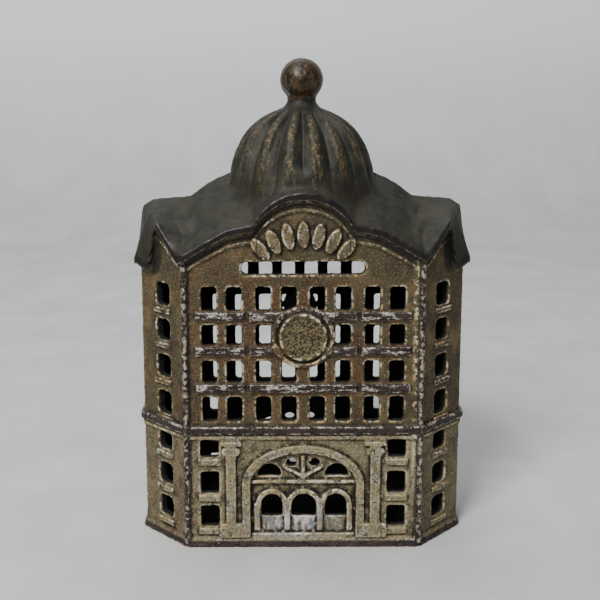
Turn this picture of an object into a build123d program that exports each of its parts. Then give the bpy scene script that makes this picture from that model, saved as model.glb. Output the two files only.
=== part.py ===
"""Cast iron still bank in the shape of a domed building: two half castings and one clamping screw.

Millimetres, +Z up. X runs along the front wall, the front looks along -Y, and the seam between the two
halves is the plane Y = 0. The origin is the middle of the underside.
"""

import math
import os

from build123d import *

os.makedirs("parts", exist_ok=True)

# ---------------------------------------------------------------- walls
HALF_WIDTH = 42.25
HALF_DEPTH = 19.0
CANT = 12.3
FACE_HALF = HALF_WIDTH - CANT
WALL = 2.4
FLOOR = 2.2
PLINTH_FLARE = 1.0
PLINTH_HEIGHT = 2.6
PLINTH_ROUND = 3.5
PLINTH_TAPER = 18
BELT_LOW = 30.6
BELT_HIGH = 32.7
BELT_PROUD = 0.95
STRING_LOW = 29.2
STRING_HIGH = 30.0
STRING_PROUD = 0.4
CORNER_BEAD = 0.85
WALL_TOP = 110.0
TRIM_FROM = 60.0

# ---------------------------------------------------------------- roof
OVERHANG = 1.8
RIM_THICK = 1.9
ROOF_SKIN = 3.0
ROOF_RISE = 13.0
ARCH_HALF = 12.6
ARCH_FOOT = 84.8
ARCH_TOP = 92.8
EAVES = [(15.9, 84.3), (19.0, 83.6), (25.2, 80.3)]
VALLEY_Z = 77.0
GABLE_Z = 85.0
EAVE_Z = 74.4
FOLD_BACK = (29.5, 90.0)
RIDGE_END = (39.6, 89.2)
SHOULDER = (42.4, 87.4)
STEP = 0.35

# ---------------------------------------------------------------- dome, neck and ball
DOME_BASE_R = 18.9
DOME_BASE_Z = 88.0
DOME_SPRING_Z = 96.0
DOME_CROWN = [(17.1, 101.6), (13.7, 107.4), (7.1, 111.9)]
DOME_LEAN = (-0.55, 1)
HOLLOW_LEAN = (-1, 0.45)
NECK_R = 3.8
NECK_Z = 114.6
BALL_R = 5.7
TOTAL_HEIGHT = 126.0
BALL_Z = TOTAL_HEIGHT - BALL_R
DOME_SKIN = 2.6
RIB_COUNT = 16
RIB_PHASE = 90 + 180 / RIB_COUNT
RIB_PROUD = 0.35
RIB_HALF_THICK = 1.2
RIB_ROOT_R = 12.0
RIB_ROOT_Z = 110.0

# ---------------------------------------------------------------- upper storey of the front and back wall
COLUMNS = [3.6, 10.1, 17.5, 23.8]
BACK_COLUMNS = [3.3, 9.9, 16.9, 23.4]
WINDOW_WIDTH = 3.85
WINDOW_ROUND = 0.8
ROWS = [(62.9, 69.0), (53.9, 59.3), (44.1, 49.9), (33.9, 40.4)]
SILL_RISE = 1.7
SILL_PROUD = 0.6
SILL_ENDS = 1.5
SILL_DROP = 0.3
DRIP_DROP = 0.65
DRIP_HEIGHT = 0.5
DRIP_PROUD = 0.3

# ---------------------------------------------------------------- coin slot, medallion and garland
SLOT_Z = 73.8
SLOT_HALF = 15.6
SLOT_HEIGHT = 3.3
MEDALLION_Z = 56.2
MEDALLION_R = 6.1
COLLAR_R = 8.05
COLLAR_INNER = 6.95
COLLAR_PROUD = 0.85
MEDALLION_PROUD = 1.1
MEDALLION_FIELD = 0.45
MEDALLION_RIM = 0.9
GARLAND_R = 17.5
GARLAND_Z = 64.8
GARLAND_LEAF = (1.5, 3.3)
GARLAND_STEP = 12.6
GARLAND_SIDE = 3
GARLAND_PROUD = 1.1

# ---------------------------------------------------------------- lower storey
SIDE_X = 24.1
SIDE_WIDTH = 4.8
SIDE_SILL = (2.8, 2.0, 0.3)
SIDE_ROWS = [(24.2, 29.0), (14.5, 20.4), (5.4, 11.1)]
PILASTER_X = 18.6
PILASTER_SHAFT = 2.5
PILASTER_LOW = 2.6
PILASTER_BASE = 6.4
PILASTER_NECK = 24.9
PILASTER_HIGH = 28.6
PILASTER_ABACUS = 1.1
PILASTER_SPREAD = 5.4
PILASTER_FOOT = 5.9
SCROLL_R = 1.05
PILASTER_PROUD = 1.0
ARCH_OUT = 15.7
ARCH_BAND = 2.0
SPRING_Z = 16.9
ARCH_RISE = 10.7
ARCH_PROUD = 0.9
RECESS = 0.8
RECESS_FOOT = 3.4
TRANSOM_Z = 17.5
TRANSOM_HALF = 13.4
TRANSOM_HIGH = 0.9
FAN_X = 8.7
FAN_Z = 19.0
FAN_HALF = 3.1
FAN_RISE = 3.2
FAN_RIB_SPREAD = 5.2
FAN_RIB_LOW = 18.4
FAN_RIB_HIGH = 21.3
FAN_RIB_WIDE = 0.9
MULLION_HIGH = 24.6
EYE_X = 3.0
EYE_Z = 22.6
EYE_R = (1.45, 1.0)
SIDE_CORNER = 0.75
DOORS = [(-8.1, 5.6), (0.2, 6.5), (8.5, 5.6)]
DOOR_LOW = 8.0
DOOR_HIGH = 14.2
DOOR_BAND = 1.3
HEAD_STILT = 1.0
DOOR_PROUD = 0.8
SHAFT_X = [-11.9, -4.1, 4.4, 12.1]
SHAFT_WIDE = 1.4
SHAFT_LOW = 4.2
SHAFT_HIGH = 11.5

# ---------------------------------------------------------------- canted corners
CANT_WIDTH = 5.4
CANT_ROUND = 1.3
CANT_SILL = (3.2, 1.9, 0.5)
CANT_ROWS = [(63.0, 69.0), (53.8, 59.4), (44.0, 49.9), (33.9, 40.2), (24.2, 29.0), (14.7, 20.4), (5.6, 11.2)]
EAVE_TRIMS = [(2.7, 3.4, 0.55), (5.0, 5.6, 0.35)]

# ---------------------------------------------------------------- screw and bosses
SCREW_Z = MEDALLION_Z
SCREW_R = 1.9
CLEARANCE = 0.06
BOSS_R = 4.6
BORE_END = -12.0
SCREW_END = -11.0
HEAD_R = 3.6
HEAD_THICK = 1.9
HEAD_ROUND = 0.6
SCREW_POINT = 0.6
BACK_BOSS_PROUD = 0.8
SLOT_WIDE = 0.9
SLOT_DEEP = 0.9

THROUGH = 5.0
ROOT_IN = 0.6


def mirrored(points):
    """The same points on the other side of the middle, from the far side inwards."""
    return [(-x, z) for x, z in reversed(points)]


def chamfered(grow):
    """The building's plan, grown by a distance: a rectangle with its corners cut at 45 degrees."""
    corner = grow * math.tan(math.pi / 8)
    x_out = HALF_WIDTH + grow
    y_out = HALF_DEPTH + grow
    x_in = FACE_HALF + corner
    y_in = HALF_DEPTH - CANT + corner
    quarter = [(x_in, -y_out), (x_out, -y_in), (x_out, y_in), (x_in, y_out)]
    return quarter + [(-x, y) for x, y in reversed(quarter)]


def plan_face(grow, height):
    """The building's plan at a height, grown by a distance."""
    with BuildSketch(Plane.XY.offset(height)) as plan:
        with BuildLine():
            Polyline(*chamfered(grow), close=True)
        make_face()
    return plan.sketch


def plan_slab(grow, low, high):
    """A slab of the building's plan, grown by a distance, between two heights."""
    extrude(plan_face(grow, low), amount=high - low)


def between(start, end, share):
    """The point at a share of the way from start to end."""
    return tuple(a + (b - a) * share for a, b in zip(start, end))


def roof_sections(drop):
    """Stations of the roof's front half from the eaves to the seam: Y, arch rise, and outline points."""
    rim_x = FACE_HALF + OVERHANG * math.tan(math.pi / 8)
    rim_y = HALF_DEPTH + OVERHANG
    side_x = HALF_WIDTH + OVERHANG
    side_y = HALF_DEPTH - CANT + OVERHANG * math.tan(math.pi / 8)
    gable = ((rim_x + side_x) / 2, GABLE_Z)
    gable_y = (rim_y + side_y) / 2
    valley = (rim_x, VALLEY_Z)
    eave = (side_x, EAVE_Z)
    side_share = 1 - side_y / gable_y
    stations = []
    for y, fold_share, tail in [
        (rim_y, 0.0, [(rim_x, VALLEY_Z - STEP * n) for n in (1, 2, 3)]),
        (gable_y, 1 - gable_y / rim_y, [gable, (gable[0], GABLE_Z - STEP), (gable[0], GABLE_Z - 2 * STEP)]),
        (
            side_y,
            1 - side_y / rim_y,
            [between(gable, RIDGE_END, side_share), between(gable, SHOULDER, side_share), eave],
        ),
        (0.0, 1.0, [RIDGE_END, SHOULDER, eave]),
    ]:
        lift = ROOF_RISE * (1 - y / rim_y)
        outline = [(ARCH_HALF, ARCH_FOOT + lift)]
        outline += [(x, z + lift) for x, z in EAVES]
        outline += [between(valley, FOLD_BACK, fold_share)] + tail
        stations.append((y, ARCH_TOP + lift - drop, [(x, z - drop) for x, z in outline]))
    return stations


def roof_body(drop):
    """Everything under the roof's outer surface, lowered by a distance, from the eaves to the seam."""
    sections = []
    for y, arch_top, outline in roof_sections(drop):
        left = mirrored(outline)
        end_x = outline[-1][0]
        with BuildSketch(Plane.XZ.offset(y)) as section:
            with BuildLine():
                Polyline(*left)
                ThreePointArc(left[-1], (0, arch_top), outline[0])
                Polyline(*outline)
                Polyline(outline[-1], (end_x, -1), (-end_x, -1), left[0])
            make_face()
        sections.append(section.sketch)
    loft(sections, ruled=True)


def dome_face(inset):
    """Half section of dome, neck and ball seen in the XZ plane; the hollow inside it has an inset."""
    crown = [(r - inset, z - inset * z / TOTAL_HEIGHT) for r, z in DOME_CROWN]
    foot = (DOME_BASE_R - inset, DOME_BASE_Z - inset)
    spring = (DOME_BASE_R - inset, DOME_SPRING_Z)
    middle = (0, DOME_BASE_Z - inset)
    with BuildSketch(Plane.XZ) as half:
        with BuildLine():
            Polyline(middle, foot, spring)
            if inset:
                Spline(spring, *crown, tangents=[(0, 1), HOLLOW_LEAN])
                Polyline(crown[-1], (0, crown[-1][1]), middle)
            else:
                Spline(spring, *crown, (NECK_R, NECK_Z), tangents=[(0, 1), DOME_LEAN])
                ball_foot = (NECK_R, BALL_Z - math.sqrt(BALL_R**2 - NECK_R**2))
                Line((NECK_R, NECK_Z), ball_foot)
                ThreePointArc(ball_foot, (BALL_R, BALL_Z), (0, TOTAL_HEIGHT))
                Line((0, TOTAL_HEIGHT), middle)
        make_face()
    return half.sketch


with BuildPart() as under_roof:
    roof_body(0)

with BuildPart() as under_rim:
    roof_body(RIM_THICK)

with BuildPart() as under_skin:
    roof_body(ROOF_SKIN)

with BuildPart() as dome:
    revolve(dome_face(0), axis=Axis.Z)

# One rib stands proud of the dome along a meridian and dies out at both ends.
with BuildPart() as rib:
    with BuildSketch(Plane.XZ):
        with BuildLine():
            back = Spline(
                (DOME_BASE_R, DOME_SPRING_Z + 1),
                *[(r + RIB_PROUD, z + RIB_PROUD / 2) for r, z in DOME_CROWN],
                (NECK_R, NECK_Z - 1),
            )
            Polyline(back @ 1, (NECK_R, RIB_ROOT_Z), (RIB_ROOT_R, DOME_SPRING_Z + 1), back @ 0)
        make_face()
    extrude(amount=RIB_HALF_THICK, both=True)

# Walls with plinth, belt and eaves, dome and ball, hollow inside, cut off at the seam.
with BuildPart() as shell:
    plan_slab(0, 0, WALL_TOP)
    add(under_roof.part, mode=Mode.INTERSECT)
    plan_slab(BELT_PROUD, BELT_LOW, BELT_HIGH)
    plan_slab(STRING_PROUD, STRING_LOW, STRING_HIGH)
    with BuildSketch():
        add(plan_face(PLINTH_FLARE, 0))
        fillet(vertices(), PLINTH_ROUND)
    extrude(amount=PLINTH_HEIGHT, taper=PLINTH_TAPER)

with BuildPart() as eaves:
    add(under_roof.part)
    add(under_rim.part, mode=Mode.SUBTRACT)

# Thin mouldings that follow the eaves on the walls below them.
with BuildPart() as trims:
    for upper, lower, proud in EAVE_TRIMS:
        with BuildPart(mode=Mode.PRIVATE) as above:
            roof_body(upper)
        with BuildPart(mode=Mode.PRIVATE) as below:
            roof_body(lower)
        with BuildPart(mode=Mode.PRIVATE) as band:
            plan_slab(proud, TRIM_FROM, WALL_TOP)
            add(above.part, mode=Mode.INTERSECT)
            add(below.part, mode=Mode.SUBTRACT)
        add(band.part)

with BuildPart() as hollow:
    plan_slab(-WALL, FLOOR, WALL_TOP)
    add(under_skin.part, mode=Mode.INTERSECT)
    revolve(dome_face(DOME_SKIN), axis=Axis.Z)

FACE = Plane.XZ.offset(HALF_DEPTH)
PANEL = FACE.offset(-RECESS)
CORNER = Plane(
    origin=(FACE_HALF + CANT / 2, CANT / 2 - HALF_DEPTH, 0),
    x_dir=(1, 1, 0),
    z_dir=(1, -1, 0),
)


CORNER_LEFT = Plane(
    origin=(-FACE_HALF - CANT / 2, CANT / 2 - HALF_DEPTH, 0),
    x_dir=(1, -1, 0),
    z_dir=(-1, -1, 0),
)


def raise_up(face, proud):
    """Raised work: a flat face on a wall, rooted in the wall and standing proud of it."""
    extrude(face, amount=proud)
    extrude(face, amount=-ROOT_IN)


def bars(plane, boxes):
    """Plain rectangles on a wall, each given as left, right, bottom and top."""
    with BuildSketch(plane) as sketch:
        for left, right, low, high in boxes:
            with Locations(((left + right) / 2, (low + high) / 2)):
                Rectangle(right - left, high - low)
    return sketch.sketch


def lights(plane, boxes, corner):
    """Window shapes on a wall: rectangles with rounded corners."""
    with BuildSketch(plane) as sketch:
        for left, right, low, high in boxes:
            with Locations(((left + right) / 2, (low + high) / 2)):
                RectangleRounded(right - left, high - low, corner)
    return sketch.sketch


def round_face(plane, radius):
    """A disc on the screw's axis, which is the medallion's too."""
    with BuildSketch(plane) as sketch:
        with Locations((0, SCREW_Z)):
            Circle(radius)
    return sketch.sketch


def both_sides(boxes):
    """The boxes and their mirror images across the middle."""
    return boxes + [(-right, -left, low, high) for left, right, low, high in boxes]


def window_boxes(columns, medallion):
    """The upper storey's windows; the medallion takes the place of the middle pair in the second row."""
    boxes = []
    for number, (low, high) in enumerate(ROWS):
        for column in columns:
            if medallion and number == 1 and column == columns[0]:
                continue
            boxes.append((column - WINDOW_WIDTH / 2, column + WINDOW_WIDTH / 2, low, high))
    return both_sides(boxes)


def sill_boxes(columns, drip):
    """Sills under the three upper rows: one bar under the middle windows and one under each side pair."""
    inner = columns[1] + WINDOW_WIDTH / 2 + SILL_ENDS
    near = columns[2] - WINDOW_WIDTH / 2 - SILL_ENDS / 2
    far = columns[3] + WINDOW_WIDTH / 2 + SILL_ENDS
    boxes = []
    for low, high in ROWS[:3]:
        top = low - SILL_DROP
        bottom = top - SILL_RISE
        if drip:
            top = bottom - DRIP_DROP + DRIP_HEIGHT
            bottom = bottom - DRIP_DROP
        boxes.append((-inner, inner, bottom, top))
        boxes += both_sides([(near, far, bottom, top)])
    return boxes


def basket_arch(half, rise, foot):
    """A basket-handle arch with straight legs, standing on a foot line."""
    with BuildSketch(FACE) as arch:
        with BuildLine():
            Line((-half, foot), (-half, SPRING_Z))
            EllipticalCenterArc((0, SPRING_Z), half, rise, start_angle=0, arc_size=180)
            Line((half, SPRING_Z), (half, foot))
            Line((half, foot), (-half, foot))
        make_face()
    return arch.sketch


def fan_ribs():
    """Two ribs that spread like a V from the middle of the transom, and the mullion between them."""
    with BuildSketch(PANEL) as ribs:
        for side in (-1, 1):
            with BuildLine():
                Polyline(
                    (0, FAN_RIB_LOW),
                    (side * FAN_RIB_SPREAD, FAN_RIB_HIGH),
                    (side * FAN_RIB_SPREAD, FAN_RIB_HIGH + FAN_RIB_WIDE),
                    (0, FAN_RIB_LOW + FAN_RIB_WIDE),
                    close=True,
                )
            make_face()
        with Locations((0, (FAN_RIB_LOW + MULLION_HIGH) / 2)):
            Rectangle(FAN_RIB_WIDE, MULLION_HIGH - FAN_RIB_LOW)
    return ribs.sketch


def fanlights():
    """Openings above the transom: a half-moon at each side and an oval eye at each side of the mullion."""
    with BuildSketch(FACE) as openings:
        for side in (-1, 1):
            with BuildLine():
                moon = EllipticalCenterArc(
                    (side * FAN_X, FAN_Z), FAN_HALF, FAN_RISE, start_angle=0, arc_size=180
                )
                Line(moon @ 1, moon @ 0)
            make_face()
        with Locations((-EYE_X, EYE_Z), (EYE_X, EYE_Z)):
            Ellipse(*EYE_R)
    return openings.sketch


def round_top(centre, half, low, high):
    """A doorway with a round head."""
    with BuildSketch(PANEL) as door:
        with BuildLine():
            Polyline((centre - half, high - half), (centre - half, low), (centre + half, low))
            Line((centre + half, low), (centre + half, high - half))
            ThreePointArc((centre + half, high - half), (centre, high), (centre - half, high - half))
        make_face()
    return door.sketch


def pilasters():
    """A pilaster at each side: narrow shaft, plain base, and a capital of two scrolls under a slab."""
    half = PILASTER_SHAFT / 2
    spread = PILASTER_SPREAD / 2
    foot = PILASTER_FOOT / 2
    pieces = [
        (PILASTER_X - half, PILASTER_X + half, PILASTER_LOW, PILASTER_HIGH),
        (PILASTER_X - spread, PILASTER_X + spread, PILASTER_HIGH - PILASTER_ABACUS, PILASTER_HIGH),
        (PILASTER_X - foot, PILASTER_X + foot, PILASTER_LOW, PILASTER_BASE),
    ]
    raise_up(bars(FACE, both_sides(pieces)), PILASTER_PROUD)
    with BuildSketch(FACE) as scrolls:
        for side in (-1, 1):
            with Locations(
                (side * PILASTER_X - half, PILASTER_NECK + SCROLL_R),
                (side * PILASTER_X + half, PILASTER_NECK + SCROLL_R),
            ):
                Circle(SCROLL_R)
    raise_up(scrolls.sketch, PILASTER_PROUD)


def lower_storey():
    """Pilasters, the great arch with its transom, three doors with arched heads, and side windows."""
    reach, sill_low, sill_high = SIDE_SILL
    sills = [(SIDE_X - reach, SIDE_X + reach, low - sill_low, low - sill_high) for low, high in SIDE_ROWS]
    raise_up(bars(FACE, both_sides(sills)), SILL_PROUD)
    pilasters()
    band = basket_arch(ARCH_OUT, ARCH_RISE, PLINTH_HEIGHT) - basket_arch(
        ARCH_OUT - ARCH_BAND, ARCH_RISE - ARCH_BAND, 0
    )
    raise_up(band, ARCH_PROUD)
    panel = basket_arch(ARCH_OUT - ARCH_BAND, ARCH_RISE - ARCH_BAND, RECESS_FOOT)
    extrude(panel, amount=-RECESS, mode=Mode.SUBTRACT)
    shafts = [(x - SHAFT_WIDE / 2, x + SHAFT_WIDE / 2, SHAFT_LOW, SHAFT_HIGH) for x in SHAFT_X]
    shafts.append((-TRANSOM_HALF, TRANSOM_HALF, TRANSOM_Z - TRANSOM_HIGH / 2, TRANSOM_Z + TRANSOM_HIGH / 2))
    raise_up(bars(PANEL, shafts), DOOR_PROUD)
    raise_up(fan_ribs(), DOOR_PROUD)
    for centre, wide in DOORS:
        foot = DOOR_HIGH - wide / 2 - HEAD_STILT
        head = round_top(centre, wide / 2 + DOOR_BAND, foot, DOOR_HIGH + DOOR_BAND)
        raise_up(head, DOOR_PROUD)
    for centre, wide in DOORS:
        door = round_top(centre, wide / 2, DOOR_LOW, DOOR_HIGH)
        extrude(door, amount=THROUGH, both=True, mode=Mode.SUBTRACT)
    openings = [(SIDE_X - SIDE_WIDTH / 2, SIDE_X + SIDE_WIDTH / 2, low, high) for low, high in SIDE_ROWS]
    extrude(lights(FACE, both_sides(openings), SIDE_CORNER), amount=THROUGH, both=True, mode=Mode.SUBTRACT)
    extrude(fanlights(), amount=THROUGH, both=True, mode=Mode.SUBTRACT)


def garland():
    """Leaves side by side along the arch above the coin slot."""
    with BuildSketch(FACE) as leaves:
        for number in range(-GARLAND_SIDE, GARLAND_SIDE + 1):
            turn = math.radians(number * GARLAND_STEP)
            with Locations((GARLAND_R * math.sin(turn), GARLAND_Z + GARLAND_R * math.cos(turn))):
                Ellipse(*GARLAND_LEAF, rotation=-number * GARLAND_STEP)
    return leaves.sketch


def coin_slot():
    """The coin slot's round-ended outline."""
    with BuildSketch(FACE) as slot:
        with Locations((0, SLOT_Z)):
            SlotOverall(2 * SLOT_HALF, SLOT_HEIGHT)
    return slot.sketch


def canted_corners():
    """One column of windows up each canted corner, each with its sill."""
    reach, sill_low, sill_high = CANT_SILL
    for side in (CORNER, CORNER_LEFT):
        sills = [(-reach, reach, low - sill_low, low - sill_high) for low, high in CANT_ROWS]
        raise_up(bars(side, sills), SILL_PROUD)
        windows = [(-CANT_WIDTH / 2, CANT_WIDTH / 2, low, high) for low, high in CANT_ROWS]
        extrude(lights(side, windows, CANT_ROUND), amount=THROUGH, both=True, mode=Mode.SUBTRACT)


def upper_storey(columns, medallion):
    """Sills with their drip mouldings, and the rows of windows."""
    raise_up(bars(FACE, sill_boxes(columns, False)), SILL_PROUD)
    raise_up(bars(FACE, sill_boxes(columns, True)), DRIP_PROUD)
    cut = lights(FACE, window_boxes(columns, medallion), WINDOW_ROUND)
    extrude(cut, amount=THROUGH, both=True, mode=Mode.SUBTRACT)


# The plain half casting, with its seam at Y = 0, with the work that front and back share.
with BuildPart() as plain_half:
    add(shell.part)
    add(eaves.part)
    add(trims.part)
    add(dome.part)
    with PolarLocations(0, RIB_COUNT, start_angle=RIB_PHASE):
        add(rib.part)
    with Locations((FACE_HALF, -HALF_DEPTH, PLINTH_FLARE), (-FACE_HALF, -HALF_DEPTH, PLINTH_FLARE)):
        Cylinder(CORNER_BEAD, VALLEY_Z - PLINTH_FLARE, align=(Align.CENTER, Align.CENTER, Align.MIN))
    add(hollow.part, mode=Mode.SUBTRACT)
    split(bisect_by=Plane.XZ)
    lower_storey()
    canted_corners()

with BuildPart() as front_casting:
    add(plain_half.part)
    upper_storey(COLUMNS, True)
    # Medallion with its collar, raised rim and sunk field.
    raise_up(round_face(FACE, COLLAR_R) - round_face(FACE, COLLAR_INNER), COLLAR_PROUD)
    raise_up(round_face(FACE, MEDALLION_R), MEDALLION_PROUD)
    field = round_face(FACE.offset(MEDALLION_PROUD), MEDALLION_R - MEDALLION_RIM)
    extrude(field, amount=-MEDALLION_FIELD, mode=Mode.SUBTRACT)
    raise_up(garland(), GARLAND_PROUD)
    extrude(coin_slot(), amount=THROUGH, both=True, mode=Mode.SUBTRACT)
    # Boss behind the medallion, drilled blind from the seam.
    extrude(round_face(Plane.XZ, BOSS_R), amount=HALF_DEPTH - WALL / 2)
    extrude(round_face(Plane.XZ, SCREW_R + CLEARANCE), amount=-BORE_END, mode=Mode.SUBTRACT)

# The back is made as a front half and turned over across the seam.
with BuildPart() as back_outward:
    add(plain_half.part)
    upper_storey(BACK_COLUMNS, False)
    extrude(round_face(Plane.XZ, BOSS_R), amount=HALF_DEPTH + BACK_BOSS_PROUD)
    extrude(round_face(Plane.XZ, SCREW_R + CLEARANCE), amount=HALF_DEPTH + THROUGH, mode=Mode.SUBTRACT)

with BuildPart() as back_casting:
    mirror(back_outward.part, about=Plane.XZ)

# Slotted cheese-head screw, its head bearing on the back boss.
SEAT = Plane.XZ.offset(-HALF_DEPTH - BACK_BOSS_PROUD)
HEAD_TOP = SEAT.offset(-HEAD_THICK)
with BuildPart() as clamp_screw:
    extrude(round_face(SEAT, HEAD_R), amount=-HEAD_THICK)
    fillet(clamp_screw.edges().sort_by(Axis.Y)[-1], HEAD_ROUND)
    extrude(round_face(SEAT, SCREW_R), amount=HALF_DEPTH + BACK_BOSS_PROUD - SCREW_END)
    chamfer(clamp_screw.edges().sort_by(Axis.Y)[0], SCREW_POINT)
    driver_slot = bars(HEAD_TOP, [(-HEAD_R, HEAD_R, SCREW_Z - SLOT_WIDE / 2, SCREW_Z + SLOT_WIDE / 2)])
    extrude(driver_slot, amount=SLOT_DEEP, mode=Mode.SUBTRACT)

for name, piece in (
    ("front_casting", front_casting),
    ("back_casting", back_casting),
    ("clamp_screw", clamp_screw),
):
    piece.part.label = name
    export_step(piece.part, f"parts/{name}.step")
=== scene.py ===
"""Looks of the cast iron still bank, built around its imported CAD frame. Blender 4.5, metres."""
import math

import bmesh
import bpy
import numpy as np
from mathutils import Matrix, Vector


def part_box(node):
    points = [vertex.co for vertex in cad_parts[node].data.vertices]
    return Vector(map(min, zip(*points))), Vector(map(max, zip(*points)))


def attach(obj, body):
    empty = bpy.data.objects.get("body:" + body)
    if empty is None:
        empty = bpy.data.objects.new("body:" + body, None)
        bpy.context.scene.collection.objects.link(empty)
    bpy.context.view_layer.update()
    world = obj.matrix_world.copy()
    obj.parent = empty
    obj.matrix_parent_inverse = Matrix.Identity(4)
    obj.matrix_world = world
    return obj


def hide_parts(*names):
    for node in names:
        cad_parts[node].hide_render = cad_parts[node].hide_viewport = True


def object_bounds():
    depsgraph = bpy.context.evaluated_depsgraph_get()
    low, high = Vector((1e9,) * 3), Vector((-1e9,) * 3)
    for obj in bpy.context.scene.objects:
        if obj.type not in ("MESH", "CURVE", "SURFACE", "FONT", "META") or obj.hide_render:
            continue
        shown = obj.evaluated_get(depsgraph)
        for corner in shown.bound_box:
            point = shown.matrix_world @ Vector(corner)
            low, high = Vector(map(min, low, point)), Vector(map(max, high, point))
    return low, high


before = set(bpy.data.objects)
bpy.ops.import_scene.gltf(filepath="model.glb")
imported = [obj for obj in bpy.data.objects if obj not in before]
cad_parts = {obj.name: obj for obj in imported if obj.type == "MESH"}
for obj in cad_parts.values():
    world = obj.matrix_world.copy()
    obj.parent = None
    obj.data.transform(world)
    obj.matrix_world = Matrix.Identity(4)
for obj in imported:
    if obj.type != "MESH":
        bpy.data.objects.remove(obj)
cad_low, cad_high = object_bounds()

MM = 0.001

# ---------------------------------------------------------------- the building's sizes, in metres
LOW, HIGH = (np.array(corner) for corner in (cad_low, cad_high))
TOP_Z = HIGH[2]
OVERHANG = 1.8 * MM
HALF_WIDTH = HIGH[0] - OVERHANG
HALF_DEPTH = -LOW[1] - OVERHANG
CANT = 12.3 * MM
FRONT_HALF = HALF_WIDTH - CANT
BELT_Z = TOP_Z - 94.4 * MM
EAVE_Z = TOP_Z - 51.6 * MM
SCREW_LOW, SCREW_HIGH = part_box("clamp_screw")
MEDALLION_Z = (SCREW_LOW[2] + SCREW_HIGH[2]) / 2
MEDALLION_R = 6.1 * MM
COLLAR_R = 8.1 * MM
BALL_R = 5.7 * MM
BALL_Z = TOP_Z - BALL_R
NECK_Z = TOP_Z - 11.4 * MM
DOME_R = 18.9 * MM
DOME_FOOT_Z = TOP_Z - 30.0 * MM
FOLD_X = 28.4 * MM

# ---------------------------------------------------------------- how the iron is modelled
VOXEL = 0.28 * MM
SAME_POINT = 0.002 * MM
SEAM_GAP = 0.03 * MM
GORES = 16
GORE_DEPTH = 1.3 * MM
GORE_MIDDLE = 0.85
EAVE_STEPS = 360
SOFTEN_ROUNDS = 3
FOOT_ROUNDS = 300
ROOF_ROUNDS = 6
EDGE_ROUNDS = 3
FORM_ROUNDS = 30
LUMP_SIZE, LUMP_DEPTH = 2.0 * MM, 0.24 * MM
GRAIN_SIZE, GRAIN_DEPTH = 0.5 * MM, 0.2 * MM
BALL_FLAT = 5.3 * MM

# ---------------------------------------------------------------- camera, floor, lamps
LENS = 57.085
SENSOR = 36
SHIFT = (0.03826, -0.11)
CAMERA_PLACE = (-6.47 * MM, -252 * MM, 119.37 * MM)
PITCH, YAW, ROLL = 0.15696, -0.00028, -0.00323
NEAREST = 5 * MM
FLOOR_REACH = 3.0
WALL_Y = 0.55
WALL_TOP = 1.4
SWEEP_R = 0.12
SWEEP_STEPS = 12
# Name, place, size and power of each lamp.
LAMPS = (
    ("key", (-0.36, -0.66, 0.8), 0.35, 14),
    ("fill", (0.8, -0.5, 0.5), 0.9, 0.25),
    ("top", (-0.1, 0.1, 0.95), 0.8, 4.0),
)
SKY_STRENGTH = 0.42


def smoothstep(low, high, value):
    """0 below low, 1 above high, and a smooth rise between, on arrays."""
    share = np.clip((value - low) / (high - low), 0.0, 1.0)
    return share * share * (3 - 2 * share)


def hump(value, middle, half):
    """1 at the middle, falling smoothly to 0 at half either side."""
    return 1 - smoothstep(0.0, half, np.abs(value - middle))


def wall_gaps(co):
    """How far each point is inside the side walls, the front and back walls, and the canted corners."""
    x, y = np.abs(co[:, 0]), np.abs(co[:, 1])
    return HALF_WIDTH - x, HALF_DEPTH - y, (HALF_WIDTH + HALF_DEPTH - CANT - x - y) / math.sqrt(2)


def plan_depth(co):
    """How far each point is inside the walls' outer plan; negative outside it."""
    return np.min(wall_gaps(co), axis=0)


def read_mesh(mesh):
    """(points, edges, normals) of a mesh as arrays."""
    count = len(mesh.vertices)
    co = np.empty(count * 3)
    mesh.vertices.foreach_get("co", co)
    edges = np.empty(len(mesh.edges) * 2, np.int64)
    mesh.edges.foreach_get("vertices", edges)
    normals = np.empty(count * 3)
    mesh.vertices.foreach_get("normal", normals)
    return co.reshape(-1, 3), edges.reshape(-1, 2), normals.reshape(-1, 3)


def write_points(mesh, co):
    """The mesh's points moved to these places."""
    mesh.vertices.foreach_set("co", co.ravel())
    mesh.update()


def spread(values, edges, rounds, share=0.5):
    """Values averaged over neighbouring points, a number of rounds."""
    count = len(values)
    a, b = edges[:, 0], edges[:, 1]
    degree = np.maximum(np.bincount(a, minlength=count) + np.bincount(b, minlength=count), 1)
    columns = values.reshape(count, -1).copy()
    for _ in range(rounds):
        for n in range(columns.shape[1]):
            line = columns[:, n]
            total = np.bincount(a, line[b], count) + np.bincount(b, line[a], count)
            columns[:, n] += share * (total / degree - line)
    return columns.reshape(values.shape)


def eased(co, edges, weight, rounds):
    """The points with weight, smoothed among themselves and their neighbours."""
    touched = (weight[edges[:, 0]] > 0) | (weight[edges[:, 1]] > 0)
    used, index = np.unique(edges[touched], return_inverse=True)
    moved = co.copy()
    moved[used] = spread(co[used], index.reshape(-1, 2), rounds, 0.5 * weight[used])
    return moved


def store(mesh, name, values):
    """A value at each point, for the materials to read."""
    layer = mesh.attributes.new(name, "FLOAT", "POINT")
    layer.data.foreach_set("value", values.astype(np.float32))


def applied(piece):
    """The piece's modifiers become its mesh."""
    depsgraph = bpy.context.evaluated_depsgraph_get()
    made = bpy.data.meshes.new_from_object(piece.evaluated_get(depsgraph))
    piece.modifiers.clear()
    piece.data = made


def cast_texture(piece, name, size, depth):
    """Roughness of a sand casting, as real geometry."""
    texture = bpy.data.textures.new(name, "CLOUDS")
    texture.noise_scale = size
    texture.noise_depth = 2
    relief = piece.modifiers.new(name, "DISPLACE")
    relief.texture = texture
    relief.texture_coords = "LOCAL"
    relief.strength = depth
    relief.mid_level = 0.5


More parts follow.
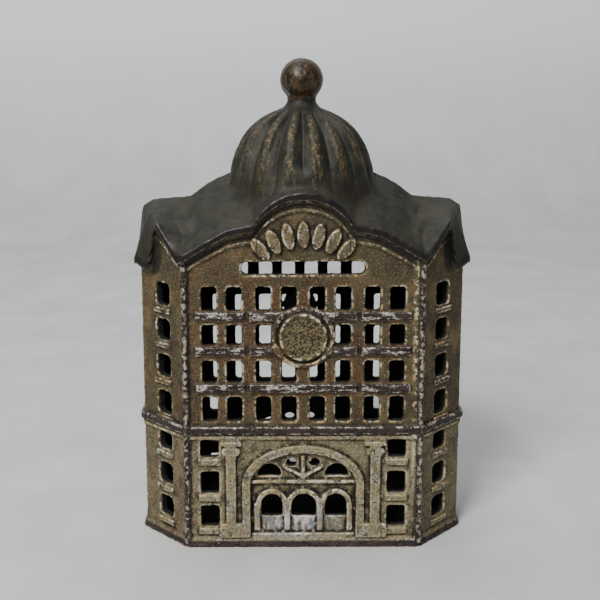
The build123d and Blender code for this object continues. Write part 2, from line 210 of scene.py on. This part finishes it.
def wall_normals(co):
    """The outward direction of the wall nearest to each point."""
    slant = math.sqrt(0.5)
    ways = np.array(((1, 0, 0), (0, 1, 0), (slant, slant, 0)))[np.argmin(wall_gaps(co), axis=0)]
    return ways * np.where(co < 0, -1, 1)


def above_eaves(co):
    """How far each point is above the underside of the eaves in its direction from the middle axis."""
    turn = np.arctan2(np.abs(co[:, 1]) / HALF_DEPTH, np.abs(co[:, 0]) / HALF_WIDTH)
    step = np.minimum((turn / math.radians(90) * EAVE_STEPS).astype(int), EAVE_STEPS - 1)
    hanging = (plan_depth(co) < -1.2 * MM) & (co[:, 2] > EAVE_Z - 3 * MM)
    lowest = np.full(EAVE_STEPS, np.inf)
    np.minimum.at(lowest, step[hanging], co[hanging, 2])
    known = np.flatnonzero(np.isfinite(lowest))
    line = np.interp(np.arange(EAVE_STEPS), known, lowest[known])
    return co[:, 2] - line[step]


def outward(co, normals):
    """1 where the skin faces away from the middle axis."""
    radius = np.maximum(np.hypot(co[:, 0], co[:, 1]), MM)
    return smoothstep(-0.05, 0.25, np.sum(normals[:, :2] * co[:, :2], axis=1) / radius)


def roof_share(co, normals):
    """1 on the outer skin of roof, eaves, dome, neck and ball."""
    skin = np.maximum(outward(co, normals), smoothstep(0.1, 0.4, normals[:, 2]))
    skin = np.maximum(skin, smoothstep(0.5 * MM, 0.9 * MM, -plan_depth(co)))
    top = smoothstep(EAVE_Z + 0.5 * MM, EAVE_Z + 1.5 * MM, co[:, 2]) * smoothstep(0.1, 0.3, normals[:, 2])
    top *= smoothstep(0.0, 0.3 * MM, plan_depth(co))
    return np.maximum(top, skin * smoothstep(0.0, 0.35 * MM, above_eaves(co)))


def dome_foot_share(co, normals):
    """1 around the foot of the dome, where it sweeps out into the front and back of the roof."""
    ring = hump(np.hypot(co[:, 0], co[:, 1]), DOME_R + 0.6 * MM, 6.5 * MM)
    band = smoothstep(DOME_FOOT_Z - 9.5 * MM, DOME_FOOT_Z - 6 * MM, co[:, 2])
    band *= 1 - smoothstep(DOME_FOOT_Z + 1 * MM, DOME_FOOT_Z + 7 * MM, co[:, 2])
    off_rim = smoothstep(0.1 * MM, 1.2 * MM, HALF_DEPTH - np.abs(co[:, 1]))
    off_seam = smoothstep(2 * MM, 12 * MM, np.abs(co[:, 1]))
    return np.minimum(1.0, 2 * ring) * band * off_rim * off_seam * roof_share(co, normals)


def gore_waves(co):
    """0 in the grooves of the dome and 1 on its ribs, and how strongly they show there."""
    radius = np.hypot(co[:, 0], co[:, 1])
    turn = np.arctan2(co[:, 0], -co[:, 1])
    wave = np.abs(np.sin(turn * GORES / 2)) ** 0.8
    uneven = 0.85 + 0.25 * np.sin(3 * turn + 0.8) * np.cos(5 * turn)
    fade = smoothstep(DOME_FOOT_Z - 6.5 * MM, DOME_FOOT_Z + 4 * MM, co[:, 2])
    fade *= 1 - smoothstep(NECK_Z - 5 * MM, NECK_Z - 0.3 * MM, co[:, 2])
    fade *= smoothstep(4.5 * MM, 8 * MM, radius) * (1 - smoothstep(19.5 * MM, 22.5 * MM, radius))
    return wave, uneven * fade


def flattened_ball(co):
    """The small flat that the casting has low on the left of its ball."""
    normal = np.array((-0.74, -0.25, -0.62))
    normal /= np.linalg.norm(normal)
    from_middle = co - np.array((0, 0, BALL_Z))
    on_ball = np.linalg.norm(from_middle, axis=1) < BALL_R + 0.4 * MM
    cut = np.where(on_ball, np.maximum(from_middle @ normal - BALL_FLAT, 0), 0)
    return co - cut[:, None] * normal


def mark_relief(mesh):
    """Edge and cavity masks, from the clean shape before its surface is roughened."""
    co, edges, normals = read_mesh(mesh)
    near = np.sum((co - spread(co, edges, EDGE_ROUNDS)) * normals, axis=1)
    far = np.sum((co - spread(co, edges, FORM_ROUNDS)) * normals, axis=1)
    store(mesh, "edge", smoothstep(0.012 * MM, 0.035 * MM, near))
    store(mesh, "cavity", smoothstep(0.008 * MM, 0.03 * MM, -near))
    store(mesh, "high", smoothstep(0.02 * MM, 0.15 * MM, far))
    store(mesh, "deep", smoothstep(0.02 * MM, 0.15 * MM, -far))


def mark_places(mesh):
    """Masks of the places that are painted and worn in their own ways, and of the painted shadow under the
    eaves.
    """
    co, _, normals = read_mesh(mesh)
    x, y, z = co.T
    depth, up = plan_depth(co), normals[:, 2]
    out = np.sum(normals * wall_normals(co), axis=1)
    over = above_eaves(co)
    roof = roof_share(co, normals)
    off_roof = 1 - roof
    disc = np.hypot(x, z - MEDALLION_Z)
    proud = smoothstep(0.15 * MM, 0.4 * MM, -depth) * off_roof
    flat = np.abs(x) < FRONT_HALF - 1.5 * MM
    upper = smoothstep(BELT_Z + 1.2 * MM, BELT_Z + 2 * MM, z)
    upper = upper * (1 - smoothstep(EAVE_Z - 3 * MM, EAVE_Z - 2 * MM, z))
    sill = proud * upper * smoothstep(COLLAR_R, COLLAR_R + 0.4 * MM, disc)
    corner = np.hypot(np.abs(x) - HALF_WIDTH + CANT, np.abs(y) - HALF_DEPTH)
    bead = (1 - smoothstep(0.8 * MM, 1.15 * MM, corner)) * off_roof
    belt = proud * smoothstep(BELT_Z - 1.3 * MM, BELT_Z - 0.9 * MM, z)
    belt = belt * (1 - smoothstep(BELT_Z + 1.2 * MM, BELT_Z + 1.6 * MM, z))
    plinth = 1 - smoothstep(1.4 * MM, 1.9 * MM, z)
    collar = proud * (y < 0) * smoothstep(-4 * MM, 6 * MM, z - MEDALLION_Z)
    collar *= hump(disc, (MEDALLION_R + COLLAR_R) / 2, 1.6 * MM)
    store(mesh, "roof", roof)
    rim = roof * smoothstep(0.5 * MM, 0.9 * MM, -depth) * (1 - smoothstep(1.7 * MM, 2.3 * MM, over))
    store(mesh, "rim", rim)
    store(mesh, "iron", np.max([bead, sill * flat, belt, plinth, collar], axis=0))
    belt_top = belt * hump(z, BELT_Z + 0.75 * MM, 0.7 * MM) * (up > 0.2)
    store(mesh, "sill", np.maximum(sill * flat * smoothstep(0.4, 0.8, out), belt_top))
    store(mesh, "relief", proud)
    store(mesh, "field", (disc < MEDALLION_R - 0.7 * MM) & (y < 0) & (depth < 0.6 * MM))
    store(mesh, "chalky", (y < 0) * hump(x, -3 * MM, 17 * MM) * hump(z, 6.5 * MM, 6.5 * MM))
    store(mesh, "rusty", hump(x, -4 * MM, 38 * MM) * hump(z, MEDALLION_Z, 30 * MM))
    leaves = proud * flat * (y < 0) * smoothstep(EAVE_Z + 2 * MM, EAVE_Z + 3 * MM, z) * (over < -3 * MM)
    canted = smoothstep(FRONT_HALF, FRONT_HALF + 1 * MM, np.abs(x))
    below = (1 - smoothstep(BELT_Z - 1 * MM, BELT_Z + 1 * MM, z)) * (1 - 0.55 * canted)
    store(mesh, "lower", np.maximum(below, 0.3 * leaves))
    store(mesh, "medal", (y < 0) * (1 - smoothstep(COLLAR_R, COLLAR_R + 0.5 * MM, disc)))
    hidden = smoothstep(0.35 * MM, 1.0 * MM, depth) * (1 - smoothstep(0.2, 0.6, out))
    store(mesh, "inside", np.maximum(hidden, smoothstep(1.5 * MM, 1.9 * MM, depth)) * off_roof)
    wave, fade = gore_waves(co)
    store(mesh, "rib", smoothstep(0.7, 0.98, wave) * fade * roof)
    store(mesh, "knob", smoothstep(NECK_Z - 0.5 * MM, NECK_Z + 1.2 * MM, z))
    # Painted shadow on the walls just under the eaves.
    store(mesh, "shade", smoothstep(-1.5 * MM, -0.3 * MM, over) * off_roof)
    stripe = (y < 0) * hump(x, FRONT_HALF - 1.5 * MM, 1.0 * MM) * smoothstep(8 * MM, 30 * MM, z)
    store(mesh, "stripe", stripe)
    fold = hump(np.abs(x), FOLD_X, 1.7 * MM) * smoothstep(5 * MM, 10 * MM, np.abs(y))
    store(mesh, "fold", fold * smoothstep(0, 0.3 * MM, depth) * (up > 0.1))


def casting(node, body):
    """One half of the bank: its CAD shape, softened as a worn casting is, with its surface relief."""
    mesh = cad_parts[node].data.copy()
    build = bmesh.new()
    build.from_mesh(mesh)
    bmesh.ops.remove_doubles(build, verts=build.verts, dist=SAME_POINT)
    build.to_mesh(mesh)
    build.free()
    mesh.materials.clear()
    piece = bpy.data.objects.new(node + "_iron", mesh)
    bpy.context.scene.collection.objects.link(piece)
    remesh = piece.modifiers.new("skin", "REMESH")
    remesh.mode = "VOXEL"
    remesh.voxel_size = VOXEL
    remesh.use_smooth_shade = True
    soften = piece.modifiers.new("soften", "SMOOTH")
    soften.factor = 0.5
    soften.iterations = SOFTEN_ROUNDS
    applied(piece)
    co, edges, normals = read_mesh(piece.data)
    write_points(piece.data, eased(co, edges, dome_foot_share(co, normals), FOOT_ROUNDS))
    mark_relief(piece.data)
    cast_texture(piece, node + "_lumps", LUMP_SIZE, LUMP_DEPTH)
    cast_texture(piece, node + "_grain", GRAIN_SIZE, GRAIN_DEPTH)
    applied(piece)
    co, edges, normals = read_mesh(piece.data)
    write_points(piece.data, eased(co, edges, roof_share(co, normals), ROOF_ROUNDS))
    co, _, normals = read_mesh(piece.data)
    wave, fade = gore_waves(co)
    off_rim = smoothstep(0.0, 0.8 * MM, HALF_DEPTH - np.abs(co[:, 1]))
    push = (wave - GORE_MIDDLE) * fade * off_rim * outward(co, normals) * GORE_DEPTH
    co = flattened_ball(co + normals * push[:, None])
    # The halves meet at the seam without cutting into each other, and stay inside the CAD box.
    side = -1 if node == "front_casting" else 1
    co[:, 1] = side * np.maximum(side * co[:, 1], SEAM_GAP)
    write_points(piece.data, np.clip(co, LOW, HIGH))
    mark_places(piece.data)
    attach(piece, body)
    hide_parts(node)
    return piece


class Nodes:
    """A material's node tree, with short calls for the nodes that its patterns need."""

    def __init__(self, name):
        self.material = bpy.data.materials.new(name)
        self.material.use_nodes = True
        self.tree = self.material.node_tree
        self.shader = self.tree.nodes["Principled BSDF"]
        self.place = self.tree.nodes.new("ShaderNodeTexCoord").outputs["Object"]

    def link(self, value, socket):
        """A socket fed from another socket, or set to a number or colour."""
        if isinstance(value, bpy.types.NodeSocket):
            self.tree.links.new(value, socket)
        else:
            socket.default_value = value

    def attribute(self, name):
        """A value stored at each point of the mesh."""
        node = self.tree.nodes.new("ShaderNodeAttribute")
        node.attribute_name = name
        return node.outputs["Fac"]

    def stretched(self, x, y, z):
        """The object's place, drawn out along each axis by these factors."""
        node = self.tree.nodes.new("ShaderNodeVectorMath")
        node.operation = "MULTIPLY"
        self.link(self.place, node.inputs[0])
        node.inputs[1].default_value = (1 / x, 1 / y, 1 / z)
        return node.outputs[0]

    def noise(self, size, detail=4.0, rough=0.55, warp=0.0, place=None):
        """Noise with a grain of this size in metres."""
        node = self.tree.nodes.new("ShaderNodeTexNoise")
        self.link(place or self.place, node.inputs["Vector"])
        node.inputs["Scale"].default_value = 1 / size
        node.inputs["Detail"].default_value = detail
        node.inputs["Roughness"].default_value = rough
        node.inputs["Distortion"].default_value = warp
        return node.outputs["Fac"]

    def math(self, kind, a, b=0.0, clamp=False):
        """One calculation on two values, held between 0 and 1 when clamped."""
        node = self.tree.nodes.new("ShaderNodeMath")
        node.operation = kind
        node.use_clamp = clamp
        self.link(a, node.inputs[0])
        self.link(b, node.inputs[1])
        return node.outputs[0]

    def times(self, *factors):
        """The product of several values."""
        product = factors[0]
        for factor in factors[1:]:
            product = self.math("MULTIPLY", product, factor)
        return product

    def between(self, value, low, high):
        """0 where value is under low, 1 above high, smooth between."""
        node = self.tree.nodes.new("ShaderNodeMapRange")
        node.interpolation_type = "SMOOTHSTEP"
        self.link(value, node.inputs["Value"])
        node.inputs["From Min"].default_value = low
        node.inputs["From Max"].default_value = high
        return node.outputs["Result"]

    def less(self, value, share):
        """1 minus the share of a value."""
        return self.math("SUBTRACT", 1.0, self.math("MULTIPLY", value, share))

    def mix(self, share, a, b):
        """Colour a, turning to colour b as share rises to 1."""
        node = self.tree.nodes.new("ShaderNodeMix")
        node.data_type = "RGBA"
        self.link(share, node.inputs["Factor"])
        self.link(a, node.inputs["A"])
        self.link(b, node.inputs["B"])
        return node.outputs["Result"]

    def bump(self, height, depth):
        """Fine relief in the shading, this deep."""
        node = self.tree.nodes.new("ShaderNodeBump")
        node.inputs["Distance"].default_value = depth
        self.link(height, node.inputs["Height"])
        self.link(node.outputs["Normal"], self.shader.inputs["Normal"])


def colour(red, green, blue):
    """A colour as seen on screen, 0 to 255, for a shader."""
    linear = (((c / 255 + 0.055) / 1.055) ** 2.4 if c > 10 else c / 255 / 12.92 for c in (red, green, blue))
    return tuple(linear) + (1.0,)


def painted_iron(name):
    """Old bronze paint worn through to iron: olive-gold walls, dark raised work, a dark green roof."""
    n = Nodes(name)
    edge, cavity, high, deep = map(n.attribute, ("edge", "cavity", "high", "deep"))
    roof, rim, iron, sill = map(n.attribute, ("roof", "rim", "iron", "sill"))
    relief, inside, lower = map(n.attribute, ("relief", "inside", "lower"))
    rib, knob, stripe = map(n.attribute, ("rib", "knob", "stripe"))
    wide = n.noise(12 * MM, 3)
    broad = n.noise(7 * MM, 4, 0.6, 0.8)
    patch = n.noise(3.4 * MM, 5, 0.6)
    blotch = n.noise(1.3 * MM, 4, 0.6, 0.6)
    fleck = n.noise(0.5 * MM, 3, 0.7)
    dust = n.noise(0.2 * MM, 2)
    streak = n.noise(1.0 * MM, 4, 0.65, place=n.stretched(3.0, 1, 1))
    drip = n.noise(0.8 * MM, 4, 0.65, place=n.stretched(1, 1, 4.0))

    # Gold-olive paint, browner and darker in patches, with fine light and dark specks.
    paint = n.mix(n.between(patch, 0.36, 0.64), colour(74, 61, 38), colour(106, 92, 62))
    paint = n.mix(n.times(n.between(wide, 0.44, 0.56), 0.8), paint, colour(68, 64, 44))
    paint = n.mix(n.times(n.between(broad, 0.5, 0.62), n.less(lower, 0.8), 0.65), paint, colour(56, 42, 34))
    paint = n.mix(n.times(lower, n.between(patch, 0.3, 0.6), 0.75), paint, colour(138, 128, 102))
    rust = n.mix(n.between(fleck, 0.42, 0.58), colour(52, 30, 20), colour(112, 68, 30))
    rusty = n.attribute("rusty")
    paint = n.mix(n.times(n.between(patch, 0.46, 0.56), rusty, 0.75), paint, colour(58, 37, 27))
    rusty = n.math("ADD", 0.15, rusty)
    paint = n.mix(n.times(n.between(blotch, 0.48, 0.58), rusty, n.less(lower, 0.7)), paint, rust)
    dark_speck = n.math("SUBTRACT", 1.0, n.between(fleck, 0.33, 0.45))
    paint = n.mix(n.times(dark_speck, 0.6), paint, colour(34, 27, 18))
    pale_speck = n.times(n.between(fleck, 0.56, 0.64), n.math("ADD", 0.26, n.times(lower, 0.5)))
    paint = n.mix(pale_speck, paint, colour(192, 176, 134))
    # Worn white and blue-grey low on the front.
    chalk = n.mix(n.between(patch, 0.42, 0.58), colour(214, 212, 206), colour(126, 139, 160))
    paint = n.mix(n.times(n.attribute("chalky"), n.between(drip, 0.38, 0.54)), paint, chalk)
    # Dirt and painted shade in the corners and crevices.
    paint = n.mix(n.times(deep, n.between(blotch, 0.38, 0.54), 0.85), paint, colour(34, 25, 16))
    crevice_dirt_and_shade = n.times(cavity, n.between(blotch, 0.34, 0.5), n.less(n.attribute("medal"), 0.5))
    paint = n.mix(crevice_dirt_and_shade, paint, colour(26, 19, 13))
    # Then pale broken edges and high places: partly worn paint, partly painted highlight on edges and raised
    # work.
    silver = n.mix(n.between(patch, 0.42, 0.58), colour(222, 214, 192), colour(186, 164, 118))
    wear_and_highlight = n.math("MAXIMUM", n.times(high, 0.9), n.times(relief, 0.6))
    wear_and_highlight = n.times(wear_and_highlight, n.math("ADD", 0.15, n.times(lower, 0.6)), n.between(fleck, 0.4, 0.54))
    wear_and_highlight = n.math("MAXIMUM", edge, wear_and_highlight)
    wear_and_highlight = n.math("MAXIMUM", wear_and_highlight, n.times(stripe, 1.2))
    wear_and_highlight = n.times(wear_and_highlight, n.between(n.math("ADD", blotch, n.times(lower, 0.05)), 0.47, 0.56), 0.85)
    paint = n.mix(wear_and_highlight, paint, silver)
    # Painted shadow on the walls just under the eaves.
    paint = n.mix(n.times(n.attribute("shade"), 0.8), paint, colour(34, 27, 20))
    field = n.mix(n.between(fleck, 0.44, 0.56), colour(40, 33, 22), colour(116, 103, 72))
    paint = n.mix(n.attribute("field"), paint, field)

    # Bare purple-brown iron on beads, sills and belt, with white streaks of worn metal and pale edges that
    # are partly worn metal, partly painted highlight.
    metal = n.mix(n.between(patch, 0.4, 0.6), colour(27, 21, 22), colour(52, 40, 38))
    metal = n.mix(n.times(n.between(fleck, 0.5, 0.62), 0.35), metal, colour(104, 82, 64))
    streaks = n.times(sill, n.between(streak, 0.5, 0.59), n.between(fleck, 0.42, 0.53), 0.85)
    metal = n.mix(streaks, metal, colour(210, 206, 196))
    metal = n.mix(n.times(edge, n.between(blotch, 0.5, 0.56), 0.7), metal, colour(206, 196, 174))
    skin = n.mix(n.times(iron, n.between(n.math("ADD", patch, n.times(iron, 0.22)), 0.5, 0.56)), paint, metal)

    # Blackened green roof with gold left on the ribs; a purple-brown rim, a brown ball.
    slate = n.mix(n.between(patch, 0.38, 0.62), colour(25, 27, 23), colour(42, 42, 33))
    slate = n.mix(n.times(n.between(wide, 0.4, 0.65), 0.5), slate, colour(50, 45, 33))
    slate = n.mix(n.times(n.attribute("fold"), n.between(wide, 0.3, 0.7), 0.4), slate, colour(96, 95, 76))
    slate = n.mix(knob, slate, n.mix(n.between(patch, 0.42, 0.58), colour(26, 19, 15), colour(54, 38, 25)))
    gilt = n.math("ADD", n.times(rib, 0.9), n.math("ADD", 0.06, n.times(knob, 0.5)), True)
    gilt = n.times(gilt, n.between(drip, 0.44, 0.64), n.between(fleck, 0.36, 0.6), 0.8)
    slate = n.mix(gilt, slate, colour(136, 112, 66))
    slate = n.mix(n.times(n.between(fleck, 0.6, 0.68), 0.35), slate, colour(112, 106, 84))
    slate = n.mix(rim, slate, n.mix(n.between(patch, 0.42, 0.6), colour(20, 15, 15), colour(36, 27, 26)))
    # Painted highlight: a pale broken line along the rim's edges.
    slate = n.mix(n.times(edge, rim, n.between(blotch, 0.54, 0.6), 0.35), slate, colour(120, 104, 92))
    skin = n.mix(roof, skin, slate)
    skin = n.mix(inside, skin, colour(15, 14, 12))
    n.link(skin, n.shader.inputs["Base Color"])

    shine = n.math("ADD", n.times(rim, 0.22), n.times(knob, 0.24))
    rough = n.math("ADD", 0.44, n.times(fleck, 0.36))
    rough = n.math("SUBTRACT", rough, n.math("ADD", shine, n.times(iron, 0.12)))
    n.link(n.math("ADD", rough, n.times(inside, 0.4), True), n.shader.inputs["Roughness"])
    n.link(n.times(n.less(inside, 1.0), 0.45), n.shader.inputs["Metallic"])
    grit = n.math("ADD", fleck, n.times(dust, 0.5))
    n.bump(n.times(grit, n.less(roof, 0.6)), 0.14 * MM)
    return n.material


def screw_steel():
    """Tarnished steel with a brown film."""
    n = Nodes("screw_steel")
    film = n.between(n.noise(0.9 * MM, 4), 0.4, 0.62)
    n.link(n.mix(film, colour(92, 84, 74), colour(70, 50, 34)), n.shader.inputs["Base Color"])
    n.shader.inputs["Metallic"].default_value = 0.7
    n.link(n.math("ADD", 0.35, n.times(film, 0.3)), n.shader.inputs["Roughness"])
    n.bump(n.noise(0.5 * MM, 4), 0.03 * MM)
    return n.material


def plaster():
    """Pale matt floor that lightens as it rises into the backdrop."""
    base, other, wall = colour(192, 192, 190), colour(182, 182, 181), colour(236, 240, 242)
    n = Nodes("floor")
    height = n.tree.nodes.new("ShaderNodeSeparateXYZ")
    n.link(n.place, height.inputs[0])
    mottled = n.mix(n.between(n.noise(30 * MM, 5), 0.35, 0.65), base, other)
    rise = n.between(height.outputs["Z"], 5 * MM, 200 * MM)
    n.link(n.mix(rise, mottled, wall), n.shader.inputs["Base Color"])
    n.shader.inputs["Roughness"].default_value = 0.85
    return n.material


def make_camera():
    """The camera, in front of the bank at the height of its ball, looking slightly down."""
    data = bpy.data.cameras.new("camera")
    data.lens = LENS
    data.sensor_width = SENSOR
    data.shift_x, data.shift_y = SHIFT
    data.clip_start = NEAREST
    camera = bpy.data.objects.new("camera", data)
    bpy.context.scene.collection.objects.link(camera)
    turn = Matrix.Rotation(-YAW, 4, "Z") @ Matrix.Rotation(math.radians(90) - PITCH, 4, "X")
    turn = turn @ Matrix.Rotation(ROLL, 4, "Z")
    camera.matrix_world = Matrix.Translation(CAMERA_PLACE) @ turn
    bpy.context.scene.camera = camera


def make_floor():
    """A pale floor that sweeps up into a pale background behind the bank."""
    foot = WALL_Y - SWEEP_R
    profile = [(-FLOOR_REACH, 0.0), (foot, 0.0)]
    for step in range(1, SWEEP_STEPS):
        turn = math.radians(90 * step / SWEEP_STEPS)
        profile.append((foot + SWEEP_R * math.sin(turn), SWEEP_R - SWEEP_R * math.cos(turn)))
    profile += [(WALL_Y, SWEEP_R), (WALL_Y, WALL_TOP)]
    points = [(x, y, z) for y, z in profile for x in (-FLOOR_REACH, FLOOR_REACH)]
    faces = [(2 * n, 2 * n + 1, 2 * n + 3, 2 * n + 2) for n in range(len(profile) - 1)]
    mesh = bpy.data.meshes.new("floor")
    mesh.from_pydata(points, [], faces)
    mesh.polygons.foreach_set("use_smooth", [True] * len(faces))
    mesh.materials.append(plaster())
    floor = bpy.data.objects.new("floor", mesh)
    bpy.context.scene.collection.objects.link(floor)


def make_lamp(name, place, size, power):
    """A soft square lamp that looks at the bank."""
    light = bpy.data.lights.new(name, "AREA")
    light.energy = power
    light.size = size
    lamp = bpy.data.objects.new(name, light)
    lamp.location = place
    lamp.rotation_euler = (Vector((0, 0, TOP_Z / 2)) - lamp.location).to_track_quat("-Z", "Y").to_euler()
    bpy.context.scene.collection.objects.link(lamp)


make_camera()
make_floor()
for lamp in LAMPS:
    make_lamp(*lamp)

world = bpy.data.worlds.new("world")
world.use_nodes = True
sky = world.node_tree.nodes["Background"].inputs
sky["Color"].default_value = colour(190, 194, 200)
sky["Strength"].default_value = SKY_STRENGTH
bpy.context.scene.world = world

for node, body in (("front_casting", "front"), ("back_casting", "back")):
    casting(node, body).data.materials.append(painted_iron(node + "_paint"))
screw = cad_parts["clamp_screw"]
screw.material_slots[0].material = screw_steel()
